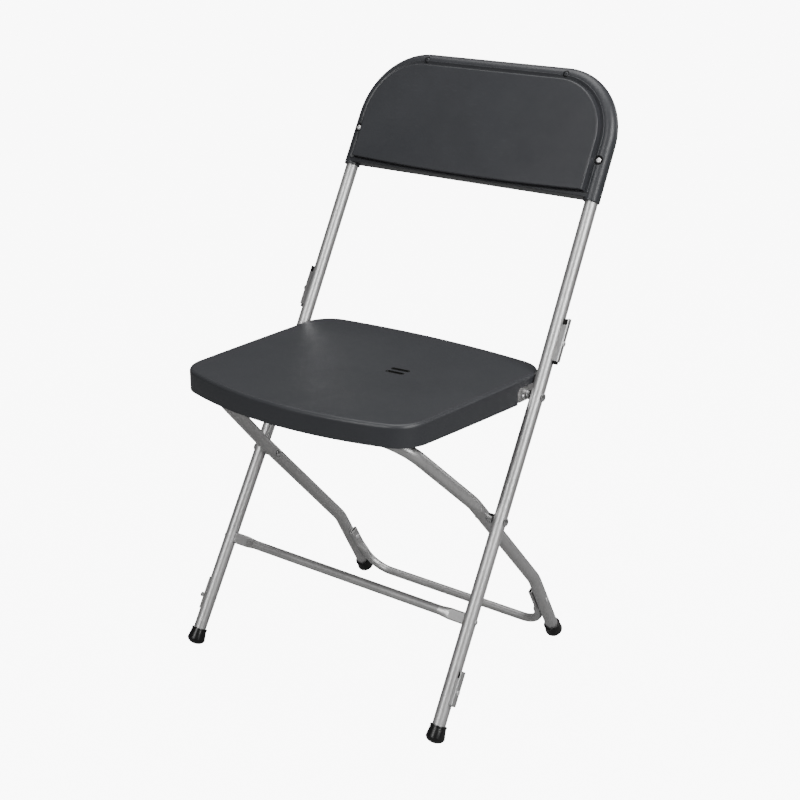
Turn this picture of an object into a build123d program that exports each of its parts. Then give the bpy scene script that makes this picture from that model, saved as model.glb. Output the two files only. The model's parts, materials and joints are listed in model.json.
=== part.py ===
from build123d import *
from math import atan2, cos, degrees, hypot, radians, sin, sqrt, tan
import os

# Folding chair: bent steel tube frame, hinged rear legs, moulded seat and moulded backrest.
# Millimetres, +Z up, front towards -Y, origin on the floor under the middle of the chair's box.

os.makedirs("parts", exist_ok=True)

# Frame tube: one inverted U that is both front legs and back posts
tube_d = 18.0
tube_wall = 1.2
floor_half = 213.4          # tube axis to middle plane, at the floor
pivot_half = 205.8          # the same at the seat pivot
top_half = 200.4            # the same at the top cross tube
lean_low = 29.8             # degrees from vertical, below the seat pivot
lean_high = 27.6            # degrees from vertical, above the seat pivot
top_run = 895.0             # along the tube from the floor to the top cross tube's axis
frame_corner_radius = 88.0
frame_bend_radius = 400.0
seat_pivot_run = 466.0      # along the tube from the floor
leg_pivot_run = 297.2
stretcher_run = 163.5

# Rear leg: one U tube, hinged inside the frame tube
leg_spacing = 7.5           # clear distance between the leg and the frame tube at the hinge
leg_bend_inset = 6.5        # leg axis inside its place at the hinge, at the bend above the foot
leg_foot_inset = 7.5        # the same at the floor
leg_bar_inset = 27.0        # the same at the corner under the seat
leg_foot_reach = 348.5      # front foot to rear foot along the floor
leg_shoulder = 36.0         # bend above the hinge, along the leg
leg_bend_height = 112.0
leg_foot_lean = 29.6        # degrees from vertical, below the bend
leg_top_lean = 46.2         # degrees from vertical, above the shoulder
leg_corner_radius = 46.0
leg_bend_radius = 60.0      # above the feet and at the shoulder

# Feet
foot_sole = 6.0             # rubber under the lowest edge of the tube
front_foot_height = 12.5    # along the tube above its end
front_foot_top_d = 21.0
front_foot_floor_d = 25.5
rear_foot_height = 7.0
rear_foot_d = 22.5
foot_edge_radius = 4.5
foot_lip_radius = 0.8

# Front stretcher: round rod with flattened ends let into the frame tube
front_rod_d = 13.0
spade_height = 16.0
spade_thickness = 4.6
spade_length = 23.0         # flat part outside the frame tube
spade_blend = 16.0          # from round to flat
slot_clearance = 0.4

# Rear stretcher: low rod with flattened ends turned up along the rear legs
rear_rod_d = 12.5
rear_rod_height = 13.0      # rod axis above the floor
rear_rod_bend = 38.0
rear_end_width = 15.0
rear_end_thickness = 5.4
rear_end_wall = 1.3
rear_end_length = 30.0
rear_end_blend = 16.0

# Rivets and hinge pins
pin_d = 7.0
pin_head_d = 11.0
pin_head_height = 2.6
rivet_d = 4.2
rivet_head_d = 7.2
rivet_head_height = 1.9
seat_fit = 0.05             # radial gap of a fixed pin in its hole
turn_fit = 0.09             # radial gap of a turning piece on its pin
head_gap = 0.1              # under a head on a tapered tube
side_gap = 0.35             # between faces that turn past each other
leg_head_gap = 0.5          # inner head of the leg's pin, on the tapering leg
spacer_d = 13.0

# Linking clips on the outer sides of the frame tube
clip_wall = 1.4
upper_clip_width = 7.4
lower_clip_width = 10.6
upper_socket_depth = 8.6    # past the tube's outer side
lower_socket_depth = 4.6
clip_plate_depth = 6.2
clip_notch = 9.0            # front wall ends short of the outer wall by this much
clip_rivet_drop = 4.5       # rivet below the middle of the clip
liner_gap = 0.2
liner_tail = 4.0            # liner below the upper clips
upper_clip_run = 544.5
upper_clip_length = 58.0
lower_clip_run = 76.0
lower_clip_length = 46.0
saddle_thickness = 1.6
saddle_half_angle = 52.0
stud_head_d = 7.0
stud_head_height = 2.4
stud_reach = 9.0            # outer end past the tube's outer side

# Backrest moulding
back_bottom_run = 730.0      # lower ends of the sleeve
back_web_rise = 3.5          # lower edge of the flat web above the sleeve's ends
back_panel_bottom_run = 737.3
panel_bottom_bow = 8.4      # lower edge of the panel is higher at its ends by this much
sleeve_d = 23.0
sleeve_ahead = 1.2          # sleeve centre ahead of the tube axis
panel_rise = 6.5            # front panel above the sleeve's front
panel_step = 7.0            # slope width of the panel's side and top edges
panel_foot = 3.5            # slope width of its lower edge
panel_inset = 4.4           # foot of the slope inside the tube axis
panel_edge_radius = 1.6
back_wall = 2.6
back_rib = 2.4
back_rib_spacing = 92.0
back_rib_recess = 14.0
panel_corner_radius = 3.0
side_rivet_run = 784.0
top_rivet_half = 116.0
rivet_recess_d = 11.4
back_rivet_head_d = 8.2
rivet_recess_depth = 1.6

# Seat moulding, measured from the seat pivot
seat_side_gap = 0.9          # between the skirt and the frame tube at the pivot
seat_mid_inset = 1.8         # skirt inside its place at the pivot, half way forwards
seat_front_inset = 6.3       # the same at the front corners
seat_front_reach = 286.0
seat_rear_reach = 58.0
seat_front_bow = 37.0
seat_rear_bow = 17.0
seat_corner_radius = 45.0
seat_top_rise = 27.0        # top rim above the pivot
seat_skirt_drop = 3.0       # skirt's lower edge below the pivot, over the cross bar
seat_skirt_tilt = 1.1       # degrees that this edge falls towards the rear
seat_wall = 3.0
seat_edge_radius = 5.0
dish_depth = 5.0
dish_radius = 158.0
drain_length = 28.0
drain_width = 4.0
drain_pitch = 12.0
drain_x = 42.5
drain_y = -85.0
seat_rib = 2.6
seat_rib_spacing = 62.0
seat_rib_recess = 0.8       # rib edges above the skirt's lower edge
stop_width = 10.0            # lugs that hold the leg's cross bar from moving forward
stop_thickness = 8.0
stop_drop = 7.0             # below the rib edges
bar_gap = 0.4               # cross bar to ribs and lugs, chair open
seat_notch_front = 29.0     # cut-out in the skirt, ahead of the pivot
seat_notch_rear = 18.0
seat_notch_top = 15.2
seat_notch_radius = 7.0

# Seat hinge bracket: an angle plate inside the skirt
bracket_wall = 2.4
bracket_skirt_gap = 1.2
bracket_front = 26.0
bracket_rear = 12.0
bracket_drop = 7.0
bracket_top = 15.0
bracket_flange = 30.0
bracket_corner = 7.0
bracket_screw_pitch = 20.0
boss_d = 12.0

# Values worked out from the sizes above
tube_r = tube_d / 2
sleeve_r = sleeve_d / 2
low_angle = radians(lean_low)
high_angle = radians(lean_high)
foot_angle = radians(leg_foot_lean)
leg_angle = radians(leg_top_lean)
pivot_dy = seat_pivot_run * sin(low_angle)
pivot_z = seat_pivot_run * cos(low_angle)
top_dy = pivot_dy + (top_run - seat_pivot_run) * sin(high_angle)
front_extent = pivot_dy - seat_front_reach
rear_extent = top_dy - sleeve_ahead * cos(high_angle) + sleeve_r
foot_y = -(front_extent + rear_extent) / 2
pivot_y = foot_y + pivot_dy


def frame_half(run):
    """Distance of the frame tube's axis from the middle plane."""
    if run < seat_pivot_run:
        return floor_half - (floor_half - pivot_half) * run / seat_pivot_run
    return pivot_half - (pivot_half - top_half) * (run - seat_pivot_run) / (top_run - seat_pivot_run)


def frame_point(run, side=1):
    """Point on the frame tube's axis, by its run from the floor."""
    low = min(run, seat_pivot_run)
    high = max(run - seat_pivot_run, 0)
    y = foot_y + low * sin(low_angle) + high * sin(high_angle)
    z = low * cos(low_angle) + high * cos(high_angle)
    return Vector(side * frame_half(run), y, z)


def frame_plane(run):
    """Plane across the right tube: x outwards, y to the rear, z up along the tube."""
    along = frame_point(run + 1) - frame_point(run - 1)
    return Plane(origin=frame_point(run), x_dir=(1, 0, 0), z_dir=along)


def front_plane(point, angle, ahead):
    """Plane facing forwards, square to a tube that leans back by the angle."""
    normal = Vector(0, -cos(angle), sin(angle))
    return Plane(origin=point + normal * ahead, x_dir=(1, 0, 0), z_dir=normal)


def side_plane(point, x, facing=1):
    """Plane across X through a point's height and depth, facing right or left."""
    return Plane(origin=(x, point.Y, point.Z), x_dir=(0, 1, 0), z_dir=(facing, 0, 0))


def tube_along(points, radii, outer, inner=0, mode=Mode.ADD):
    """Round tube or bar along straight runs joined by arcs."""
    with BuildLine() as path:
        FilletPolyline(*points, radius=radii)
    with BuildSketch(Plane(origin=path.line @ 0, z_dir=path.line % 0)) as section:
        Circle(outer)
        if inner:
            Circle(inner, mode=Mode.SUBTRACT)
    sweep(section.sketch, path=path.line, mode=mode)


def drill(plane, start, end, diameter, mode=Mode.ADD):
    """Cylinder along a plane's normal between two heights."""
    with BuildSketch(plane.offset(start)) as mark:
        Circle(diameter / 2)
    extrude(mark.sketch, amount=end - start, mode=mode)


def rivet(plane, shank_length, shank_d, head_d, head_height):
    """Domed head above a plane with a plain shank below it."""
    side = Plane(origin=plane.origin, x_dir=plane.x_dir, z_dir=-plane.y_dir)
    rise = head_height * 0.7
    dome_r = ((head_d / 2) ** 2 + rise**2) / (2 * rise)
    mid_rise = head_height - dome_r + sqrt(dome_r**2 - (head_d / 4) ** 2)
    with BuildSketch(side) as profile:
        with BuildLine() as edge:
            Polyline((0, head_height), (0, -shank_length), (shank_d / 2, -shank_length), (shank_d / 2, 0))
            Polyline((shank_d / 2, 0), (head_d / 2, 0), (head_d / 2, head_height - rise))
            ThreePointArc((head_d / 2, head_height - rise), (head_d / 4, mid_rise), (0, head_height))
        make_face(edge.edges())
    revolve(profile.sketch, axis=Axis(plane.origin, plane.z_dir))


def save(piece, name):
    """Label a finished piece and write it."""
    piece.part.label = name
    export_step(piece.part, f"parts/{name}.step")


def save_pair(right, name):
    """Write a right-hand piece and its mirror image."""
    with BuildPart() as left:
        mirror(right.part, about=Plane.YZ)
    save(right, f"{name}_right")
    save(left, f"{name}_left")


# Key points and distances from the middle plane
seat_pivot = frame_point(seat_pivot_run)
leg_pivot = frame_point(leg_pivot_run)
stretcher_point = frame_point(stretcher_run)
leg_pivot_half = frame_half(leg_pivot_run) - tube_d - leg_spacing
leg_bend_half = leg_pivot_half - leg_bend_inset
leg_foot_half = leg_pivot_half - leg_foot_inset
leg_bar_half = leg_pivot_half - leg_bar_inset
rear_foot = Vector(leg_foot_half, foot_y + leg_foot_reach, 0)
leg_bend = Vector(leg_bend_half, rear_foot.Y - leg_bend_height * tan(foot_angle), leg_bend_height)
leg_hinge = Vector(leg_pivot_half, leg_pivot.Y, leg_pivot.Z)
leg_top = leg_hinge + (leg_hinge - leg_bend).normalized() * leg_shoulder
rib_edge = seat_rib_recess - seat_skirt_drop
bar_z = pivot_z + rib_edge - bar_gap - tube_r
bar_y = leg_top.Y - (bar_z - leg_top.Z) * tan(leg_angle)
bar_corner = Vector(leg_bar_half, bar_y, bar_z)
frame_start = foot_sole / cos(low_angle) + tube_r * tan(low_angle)
leg_start = foot_sole / cos(foot_angle) + tube_r * tan(foot_angle)
leg_foot_dir = (leg_bend - rear_foot).normalized()
leg_end = rear_foot + leg_foot_dir * leg_start
leg_outer = leg_pivot_half + tube_r
leg_inner = leg_pivot_half - tube_r
frame_inner_at_leg = frame_half(leg_pivot_run) - tube_r
frame_inner_at_seat = frame_half(seat_pivot_run) - tube_r
seat_half_pivot = frame_inner_at_seat - seat_side_gap
bracket_outer = seat_half_pivot - seat_wall - bracket_skirt_gap
bracket_inner = bracket_outer - bracket_wall
back_plane = front_plane(Vector(0, pivot_y, pivot_z), high_angle, 0)
seat_plane = Plane((0, pivot_y, pivot_z))
rear_end_run = rear_rod_height / cos(foot_angle) + rear_rod_bend
rear_flat_run = rear_end_run + rear_end_blend
rear_rivet_run = rear_flat_run + rear_end_length / 2


def leg_point(run):
    """Point on the right rear leg's axis between the floor and the bend."""
    return rear_foot + leg_foot_dir * run


# Everything cut out of the right half of the frame tube
with BuildPart() as frame_cuts:
    seat_side = side_plane(seat_pivot, seat_pivot.X)
    leg_side = side_plane(leg_pivot, leg_pivot.X)
    drill(seat_side, -tube_d, tube_d, pin_d + 2 * seat_fit)
    drill(leg_side, -tube_d, tube_d, pin_d + 2 * seat_fit)
    drill(side_plane(stretcher_point, stretcher_point.X), tube_r / 2, tube_d, rivet_d + 2 * seat_fit)
    with BuildSketch(Plane(origin=stretcher_point, x_dir=(0, sin(low_angle), cos(low_angle)), z_dir=(-1, 0, 0))):
        SlotOverall(spade_height + 2 * slot_clearance, spade_thickness + 2 * slot_clearance)
    extrude(amount=tube_d)
    for rivet_run in (upper_clip_run - clip_rivet_drop, lower_clip_run - clip_rivet_drop):
        clip_at = frame_point(rivet_run)
        drill(side_plane(clip_at, clip_at.X), tube_r / 2, tube_d, rivet_d + 2 * seat_fit)
    drill(front_plane(frame_point(side_rivet_run), high_angle, 0), tube_r / 2, tube_d, rivet_d + 2 * seat_fit)
    top_point = Vector(top_rivet_half, frame_point(top_run).Y, frame_point(top_run).Z)
    drill(front_plane(top_point, high_angle, 0), tube_r / 2, tube_d, rivet_d + 2 * seat_fit)

# Frame tube
with BuildPart() as back_frame:
    right_run = [frame_point(frame_start), frame_point(seat_pivot_run), frame_point(top_run)]
    left_run = [frame_point(top_run, -1), frame_point(seat_pivot_run, -1), frame_point(frame_start, -1)]
    frame_radii = [frame_bend_radius, frame_corner_radius, frame_corner_radius, frame_bend_radius]
    tube_along(right_run + left_run, frame_radii, tube_r, tube_r - tube_wall)
    add(frame_cuts.part, mode=Mode.SUBTRACT)
    mirror(frame_cuts.part, about=Plane.YZ, mode=Mode.SUBTRACT)
save(back_frame, "back_frame")

# Rear leg tube
with BuildPart() as rear_leg_tube:
    right_leg = [leg_end, leg_bend, leg_top, bar_corner]
    left_leg = [Vector(-p.X, p.Y, p.Z) for p in reversed(right_leg)]
    half_radii = [leg_bend_radius, leg_bend_radius, leg_corner_radius]
    tube_along(right_leg + left_leg, half_radii + half_radii[::-1], tube_r, tube_r - tube_wall)
    for side in (-1, 1):
        drill(side_plane(leg_hinge, side * leg_pivot_half), -tube_d, tube_d, pin_d + 2 * turn_fit, Mode.SUBTRACT)
        rivet_side = side_plane(leg_point(rear_rivet_run), side * leg_point(rear_rivet_run).X)
        drill(rivet_side, -tube_d, tube_d, rivet_d + 2 * seat_fit, Mode.SUBTRACT)
save(rear_leg_tube, "rear_leg_tube")

# Front feet: tapered ferrules cut flat at the floor
with BuildPart() as front_foot:
    taper = (front_foot_floor_d - front_foot_top_d) / 2 / (frame_start + front_foot_height)
    below = frame_start + front_foot_floor_d * tan(low_angle)
    with BuildSketch(frame_plane(frame_start).offset(front_foot_height)):
        Circle(front_foot_top_d / 2)
    with BuildSketch(frame_plane(frame_start).offset(-below)):
        Circle(front_foot_floor_d / 2 + taper * (below - frame_start))
    loft()
    split(bisect_by=Plane.XY, keep=Keep.TOP)
    fillet(front_foot.edges().sort_by(Axis.Z)[0], radius=foot_edge_radius)
    fillet(front_foot.edges().sort_by(Axis.Z)[-1], radius=foot_lip_radius)
    drill(frame_plane(frame_start), 0, tube_d * 2, tube_d + 2 * seat_fit, Mode.SUBTRACT)
save_pair(front_foot, "front_foot")

# Rear feet: short round caps cut flat at the floor
with BuildPart() as rear_foot_cap:
    leg_end_plane = Plane(origin=leg_end, x_dir=(1, 0, 0), z_dir=leg_foot_dir)
    drill(leg_end_plane, -2 * tube_d, rear_foot_height, rear_foot_d)
    split(bisect_by=Plane.XY, keep=Keep.TOP)
    fillet(rear_foot_cap.edges().sort_by(Axis.Z)[0], radius=foot_edge_radius)
    fillet(rear_foot_cap.edges().sort_by(Axis.Z)[-1], radius=foot_lip_radius)
    drill(leg_end_plane, 0, tube_d * 2, tube_d + 2 * seat_fit, Mode.SUBTRACT)
save_pair(rear_foot_cap, "rear_foot")

# Front stretcher, its ends let through the frame tube and peened over outside
spade_x = stretcher_point.X - tube_r - spade_length
rod_plane = Plane(origin=stretcher_point, x_dir=(0, sin(low_angle), cos(low_angle)), z_dir=(1, 0, 0))
with BuildPart() as front_stretcher:
    with BuildSketch(rod_plane.offset(-stretcher_point.X)):
        Circle(front_rod_d / 2)
    extrude(amount=spade_x - spade_blend)
    with BuildSketch(rod_plane.offset(spade_x - spade_blend - stretcher_point.X)):
        Circle(front_rod_d / 2)
    with BuildSketch(rod_plane.offset(spade_x - stretcher_point.X)):
        SlotOverall(spade_height, spade_thickness)
    loft()
    with BuildSketch(rod_plane.offset(spade_x - stretcher_point.X)):
        SlotOverall(spade_height, spade_thickness)
    extrude(amount=spade_length + tube_r + rivet_d * 0.75)
    peened_end = side_plane(stretcher_point, stretcher_point.X + tube_r + head_gap)
    rivet(peened_end, tube_r - rivet_d / 2, rivet_d, rivet_head_d, rivet_head_height)
    mirror(front_stretcher.part, about=Plane.YZ)
save(front_stretcher, "front_stretcher")

# Rear stretcher
rear_plane = Plane(
    origin=(0, rear_foot.Y, 0), x_dir=(1, 0, 0), z_dir=(0, -cos(foot_angle), -sin(foot_angle))
)
rear_rod_run = rear_rod_height / cos(foot_angle)
rear_rod_half = leg_foot_half - tube_r - rear_rod_d / 2 - slot_clearance
rear_flat_half = leg_foot_half - tube_r - rear_end_thickness / 2 - seat_fit
leg_up = Vector(0, -sin(foot_angle), cos(foot_angle))


def rear_end_plane(half, run):
    """Plane across the rear stretcher's turned-up end: x outwards, y across the leg."""
    return Plane(origin=rear_plane.from_local_coords(Vector(half, run, 0)), x_dir=(1, 0, 0), z_dir=leg_up)


with BuildPart() as rear_stretcher:
    rod_points = [
        (-rear_rod_half, rear_end_run),
        (-rear_rod_half, rear_rod_run),
        (rear_rod_half, rear_rod_run),
        (rear_rod_half, rear_end_run),
    ]
    with BuildLine(rear_plane) as rod_path:
        FilletPolyline(*rod_points, radius=rear_rod_bend - 1)
    with BuildSketch(Plane(origin=rod_path.line @ 0, z_dir=rod_path.line % 0)):
        Circle(rear_rod_d / 2)
    sweep(path=rod_path.line)
    with BuildSketch(rear_end_plane(rear_rod_half, rear_end_run)):
        Circle(rear_rod_d / 2)
    with BuildSketch(rear_end_plane(rear_flat_half, rear_flat_run)):
        SlotOverall(rear_end_width, rear_end_thickness, rotation=90)
    loft()
    with BuildSketch(rear_end_plane(rear_flat_half, rear_flat_run)):
        SlotOverall(rear_end_width, rear_end_thickness, rotation=90)
    extrude(amount=rear_end_length)
    with BuildSketch(rear_end_plane(rear_flat_half, rear_flat_run + rear_end_wall)):
        SlotOverall(rear_end_width - 2 * rear_end_wall, rear_end_thickness - 2 * rear_end_wall, rotation=90)
    extrude(amount=rear_end_length, mode=Mode.SUBTRACT)
    rear_rivet_side = side_plane(leg_point(rear_rivet_run), leg_point(rear_rivet_run).X)
    drill(rear_rivet_side, -tube_d * 2, tube_d, rivet_d + 2 * seat_fit, Mode.SUBTRACT)
    with BuildSketch(Plane.YZ):
        Rectangle(4 * leg_foot_reach, 4 * leg_foot_reach)
    extrude(amount=-2 * floor_half, mode=Mode.SUBTRACT)
    mirror(rear_stretcher.part, about=Plane.YZ)
save(rear_stretcher, "rear_stretcher")

# Rear stretcher rivets, through each leg and flattened end
with BuildPart() as rear_stretcher_rivets:
    rivet_at = leg_point(rear_rivet_run)
    rivet_length = tube_d + rear_end_thickness + seat_fit
    rivet(side_plane(rivet_at, rivet_at.X + tube_r + head_gap), rivet_length, rivet_d, rivet_head_d, rivet_head_height)
    rivet_inner = rear_flat_half - rear_end_thickness / 2 - head_gap
    rivet(side_plane(rivet_at, rivet_inner, -1), rivet_length / 2, rivet_d, rivet_head_d, rivet_head_height)
    mirror(rear_stretcher_rivets.part, about=Plane.YZ)
save(rear_stretcher_rivets, "rear_stretcher_rivets")

# Hinge pins and spacers
with BuildPart() as leg_pivot_pin:
    pin_outer = leg_pivot.X + tube_r + head_gap
    pin_inner = leg_inner - leg_head_gap
    rivet(side_plane(leg_pivot, pin_outer), pin_outer - pin_inner, pin_d, pin_head_d, pin_head_height)
    rivet(side_plane(leg_pivot, pin_inner, -1), pin_d, pin_d, pin_head_d, pin_head_height)
save_pair(leg_pivot_pin, "leg_pivot_pin")

with BuildPart() as seat_pivot_pin:
    pin_outer = seat_pivot.X + tube_r + head_gap
    pin_inner = bracket_inner - side_gap
    rivet(side_plane(seat_pivot, pin_outer), pin_outer - pin_inner, pin_d, pin_head_d, pin_head_height)
    rivet(side_plane(seat_pivot, pin_inner, -1), pin_d, pin_d, pin_head_d, pin_head_height)
save_pair(seat_pivot_pin, "seat_pivot_pin")

with BuildPart() as leg_pivot_spacer:
    leg_spacer_plane = side_plane(leg_pivot, 0)
    drill(leg_spacer_plane, leg_outer + side_gap, frame_inner_at_leg - head_gap, spacer_d)
    drill(leg_spacer_plane, 0, floor_half, pin_d + 2 * seat_fit, Mode.SUBTRACT)
save_pair(leg_pivot_spacer, "leg_pivot_spacer")

with BuildPart() as seat_pivot_spacer:
    seat_spacer_plane = side_plane(seat_pivot, 0)
    drill(seat_spacer_plane, bracket_outer + side_gap, frame_inner_at_seat - head_gap, spacer_d)
    drill(seat_spacer_plane, 0, floor_half, pin_d + 2 * seat_fit, Mode.SUBTRACT)
save_pair(seat_pivot_spacer, "seat_pivot_spacer")

# Linking clips: open channels with dark liners, deeper on the right; saddle and studs on the left


def clip_foot(width):
    """Where the channel's inner faces meet the tube."""
    return sqrt(tube_r**2 - (width / 2 - clip_wall) ** 2) + seat_fit


def clip_hole(run, reach):
    """Rivet hole through a clip, below its middle."""
    clip_at = frame_point(run - clip_rivet_drop)
    drill(side_plane(clip_at, clip_at.X), 0, reach, rivet_d + 2 * seat_fit, Mode.SUBTRACT)


def clip_channel(run, length, width, depth):
    """Channel standing on the outer side of the right tube, front wall cut short at the top."""
    clip_plane = frame_plane(run)
    clip_outer = tube_r + depth
    foot = clip_foot(width)
    with BuildSketch(clip_plane.offset(-length / 2)) as section:
        with Locations(((foot + clip_outer) / 2, 0)):
            Rectangle(clip_outer - foot, width)
        fillet(vertices().group_by(Axis.X)[-1], radius=clip_wall)
        with Locations(((foot + clip_outer) / 2 - clip_wall, 0)):
            Rectangle(clip_outer - foot, width - 2 * clip_wall, mode=Mode.SUBTRACT)
    extrude(section.sketch, amount=length)
    with BuildSketch(clip_plane.offset(length / 2 - clip_notch)) as notch:
        with Locations((clip_outer / 2, -width / 2)):
            Rectangle(clip_outer - 2 * clip_wall, width / 2)
    extrude(notch.sketch, amount=clip_notch * 2, mode=Mode.SUBTRACT)
    clip_hole(run, clip_outer * 2)


def clip_liner(run, length, width, depth, tail):
    """Moulded strip that fills a channel, with its lower end standing out by the tail."""
    clip_plane = frame_plane(run)
    liner_foot = tube_r + liner_gap
    liner_outer = tube_r + depth - clip_wall - liner_gap
    with BuildSketch(clip_plane.offset(-length / 2 - tail)) as section:
        with Locations(((liner_foot + liner_outer) / 2, 0)):
            Rectangle(liner_outer - liner_foot, width - 2 * (clip_wall + liner_gap))
    extrude(section.sketch, amount=length + tail - clip_wall)


with BuildPart() as link_socket_upper:
    clip_channel(upper_clip_run, upper_clip_length, upper_clip_width, upper_socket_depth)
save(link_socket_upper, "link_socket_upper")

with BuildPart() as link_liner_upper:
    clip_liner(upper_clip_run, upper_clip_length, upper_clip_width, upper_socket_depth, liner_tail)
    clip_hole(upper_clip_run, tube_d * 2)
save(link_liner_upper, "link_liner_upper")

with BuildPart() as link_socket_lower:
    clip_channel(lower_clip_run, lower_clip_length, lower_clip_width, lower_socket_depth)
    clip_side = frame_plane(lower_clip_run)
    with BuildSketch(Plane(origin=clip_side.origin, x_dir=clip_side.y_dir, z_dir=clip_side.x_dir)):
        Rectangle(lower_clip_width, lower_clip_length)
        fillet(vertices().group_by(Axis.Y)[0], radius=lower_clip_width / 4)
    extrude(amount=tube_d * 2, mode=Mode.INTERSECT)
save(link_socket_lower, "link_socket_lower")

with BuildPart() as link_liner_lower:
    lower_liner_length = lower_clip_length - lower_clip_width / 2
    lower_liner_run = lower_clip_run + lower_clip_width / 4
    clip_liner(lower_liner_run, lower_liner_length, lower_clip_width, lower_socket_depth, 0)
    clip_hole(lower_clip_run, tube_d * 2)
save(link_liner_lower, "link_liner_lower")

with BuildPart() as right_plate:
    clip_channel(upper_clip_run, upper_clip_length, upper_clip_width, clip_plate_depth)
with BuildPart() as link_plate_upper:
    mirror(right_plate.part, about=Plane.YZ)
save(link_plate_upper, "link_plate_upper")

with BuildPart() as right_plate_liner:
    clip_liner(upper_clip_run, upper_clip_length, upper_clip_width, clip_plate_depth, liner_tail)
    clip_hole(upper_clip_run, tube_d * 2)
with BuildPart() as link_plate_liner:
    mirror(right_plate_liner.part, about=Plane.YZ)
save(link_plate_liner, "link_plate_liner")

with BuildPart() as saddle:
    saddle_edge = tube_r * cos(radians(saddle_half_angle))
    with BuildSketch(frame_plane(lower_clip_run).offset(-lower_clip_length / 2)):
        Circle(tube_r + saddle_thickness)
        Circle(tube_r + seat_fit, mode=Mode.SUBTRACT)
        with Locations((saddle_edge + tube_r, 0)):
            Rectangle(tube_d, tube_d * 2, mode=Mode.INTERSECT)
    extrude(amount=lower_clip_length)
    clip_hole(lower_clip_run, tube_d)
with BuildPart() as link_plate_lower:
    mirror(saddle.part, about=Plane.YZ)
save(link_plate_lower, "link_plate_lower")

with BuildPart() as link_socket_rivets:
    for clip_run, depth in ((upper_clip_run, upper_socket_depth), (lower_clip_run, lower_socket_depth)):
        clip_at = frame_point(clip_run - clip_rivet_drop)
        head_x = clip_at.X + tube_r + depth + 2 * head_gap
        rivet(side_plane(clip_at, head_x), depth + 2 * head_gap + 2 * tube_wall, rivet_d, rivet_head_d, rivet_head_height)
save(link_socket_rivets, "link_socket_rivets")

with BuildPart() as right_studs:
    for clip_run in (upper_clip_run, lower_clip_run):
        clip_at = frame_point(clip_run - clip_rivet_drop)
        head_x = clip_at.X + tube_r + stud_reach - stud_head_height
        stud_length = stud_reach - stud_head_height + 2 * tube_wall
        rivet(side_plane(clip_at, head_x), stud_length, rivet_d, stud_head_d, stud_head_height)
with BuildPart() as link_studs:
    mirror(right_studs.part, about=Plane.YZ)
save(link_studs, "link_studs")


def back_outline(inset, bottom, bottom_radius=0, bow=0):
    """Face bounded by the frame tube's axis less an inset, in the backrest's plane."""
    low = bottom - seat_pivot_run
    high = top_run - seat_pivot_run - inset
    low_half = frame_half(bottom + bow) - inset
    high_half = frame_half(top_run) - inset
    with BuildLine() as edge:
        Polyline((low_half, low + bow), (high_half, high), (-high_half, high), (-low_half, low + bow))
        if bow:
            ThreePointArc((-low_half, low + bow), (0, low), (low_half, low + bow))
        else:
            Line((-low_half, low), (low_half, low))
    make_face(edge.edges())
    fillet(vertices().group_by(Axis.Y)[-1], radius=frame_corner_radius - inset)
    if bottom_radius:
        fillet(vertices().group_by(Axis.Y)[0], radius=bottom_radius)


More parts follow.
